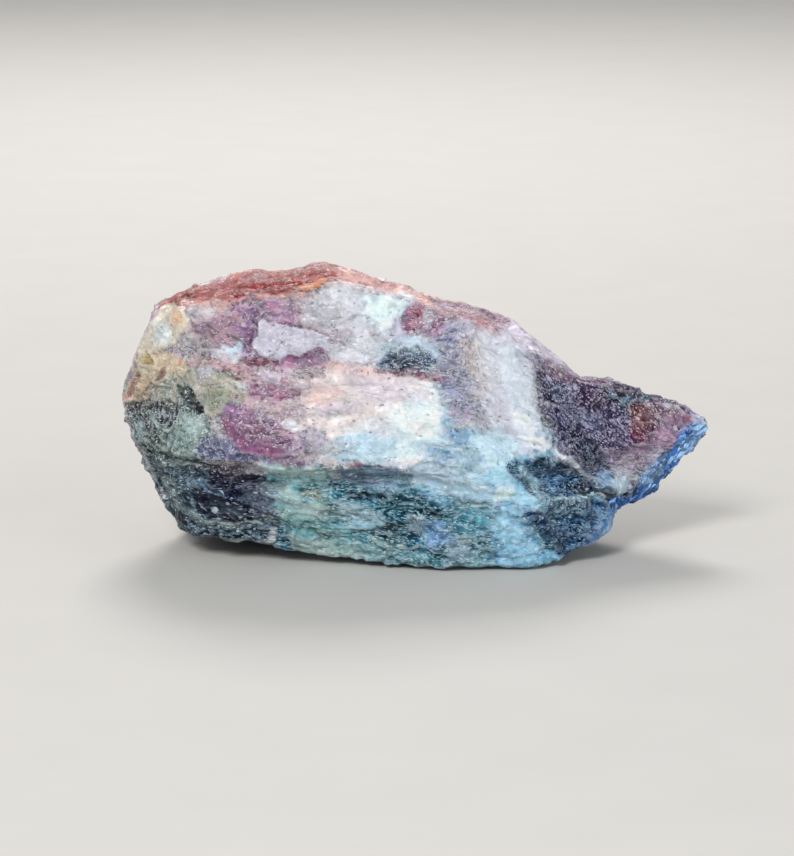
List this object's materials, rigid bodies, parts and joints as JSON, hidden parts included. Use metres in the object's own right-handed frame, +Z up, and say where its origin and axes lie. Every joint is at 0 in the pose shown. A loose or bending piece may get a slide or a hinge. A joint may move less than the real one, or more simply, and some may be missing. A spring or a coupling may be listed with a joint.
{
  "type": "raw chevron amethyst",
  "caption": "Raw broken lump of banded quartz with a blunt left end, a bulging front and a pointed right end, resting on a flat underside.",
  "frame": {"origin": "middle of the underside, on the plane that the stone rests on", "axes": "+X along the stone to its pointed end, -Y to the banded front, +Z up"},
  "size_m": [0.1, 0.048, 0.048],
  "materials": {
    "amethyst": "broken quartz, banded in purple, milky white, green-grey and smoky navy, with rust stains; glassy on fresh faces"
  },
  "bodies": {
    "root": {"amethyst": "amethyst"}
  },
  "joints": []
}
